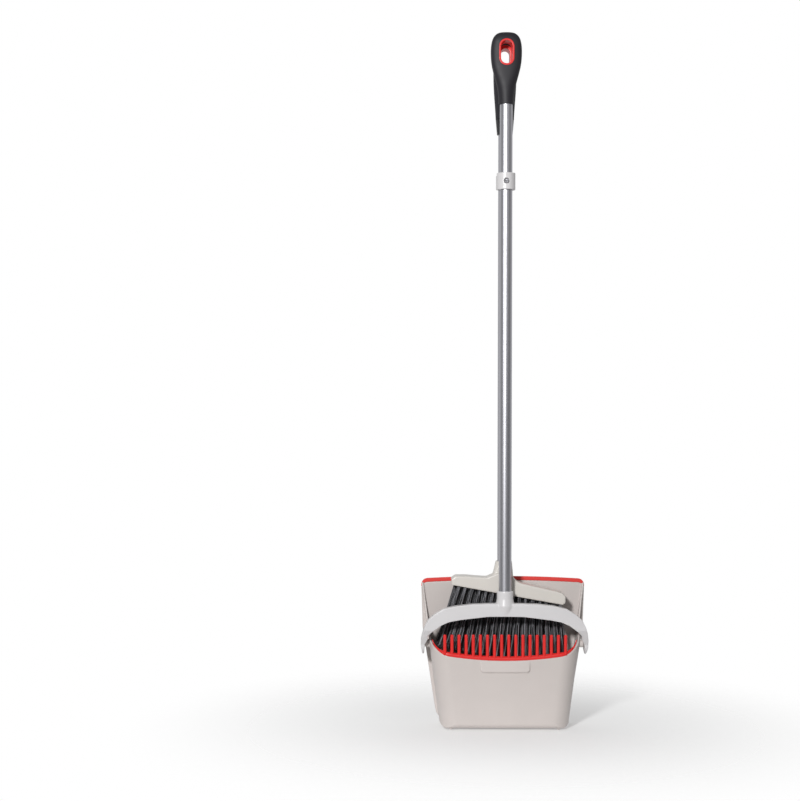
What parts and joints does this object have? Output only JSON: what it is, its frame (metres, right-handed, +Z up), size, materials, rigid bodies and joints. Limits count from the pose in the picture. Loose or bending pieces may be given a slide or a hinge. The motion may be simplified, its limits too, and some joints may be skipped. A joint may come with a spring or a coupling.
{
  "type": "dust pan and brush set",
  "caption": "Upright dust pan hung from a bail on a pole, with a comb on its rim, and an angled broom on a telescopic pole clipped behind it.",
  "frame": {"origin": "centre of the hanging hole through the dust pan's grip, on the axis of the dust pan's pole", "axes": "+Z up along the poles, +Y back from the pan's front wall to its floor plate, +X to the right seen from the front"},
  "size_m": [0.2296, 0.0658, 0.954],
  "materials": {
    "white_plastic": "moulded, satin",
    "pan_plastic": "moulded, fine matt",
    "red_soft": "soft matt",
    "red_plastic": "satin",
    "black_grip": "soft-touch matt",
    "black_plastic": "moulded matt",
    "pole_metal": "brushed, anodised",
    "screw_steel": "plated",
    "head_plastic": "moulded, satin",
    "bristle": "crimped filament",
    "cam_plastic": "moulded"
  },
  "bodies": {
    "handle": {"yoke": "white_plastic", "pivot_pin_left": "white_plastic", "pivot_pin_right": "white_plastic", "pan_pole": "pole_metal", "yoke_screw": "screw_steel", "clip_collar": "white_plastic", "clip_screw": "screw_steel", "pan_grip_core": "black_plastic", "pan_grip": "black_grip", "pan_grip_liner": "red_plastic"},
    "pan": {"pan_shell": "pan_plastic", "pan_lip": "red_soft", "cleaning_comb": "red_plastic"},
    "broom": {"broom_head": "head_plastic", "bristles_front": "bristle", "bristles_middle": "bristle", "bristles_rear": "bristle", "broom_lower_pole": "pole_metal", "head_screw": "screw_steel"},
    "twist_lock": {"lock_collar": "black_plastic"},
    "broom_upper": {"broom_upper_pole": "pole_metal", "lock_cam": "cam_plastic", "broom_grip_core": "black_plastic", "broom_grip": "black_grip", "broom_grip_liner": "red_plastic"}
  },
  "joints": [
    {"name": "pan_tilt", "type": "hinge", "parent": "handle", "child": "pan", "pos_m": [0, 0.018, -0.8109], "axis": [1, 0, 0], "range_deg": [-90, 0], "deforming": ["bristles_front", "bristles_middle", "bristles_rear"]},
    {"name": "broom_lift", "type": "slide", "parent": "handle", "child": "broom", "axis": [0, 0, 1], "range_m": [0, 0.2]},
    {"name": "lock_twist", "type": "hinge", "parent": "broom", "child": "twist_lock", "pos_m": [0, 0.03, -0.0973], "axis": [0, 0, 1], "range_deg": [0, 90]},
    {"name": "broom_extend", "type": "slide", "parent": "broom", "child": "broom_upper", "axis": [0, 0, 1], "range_m": [0, 0.33]}
  ]
}
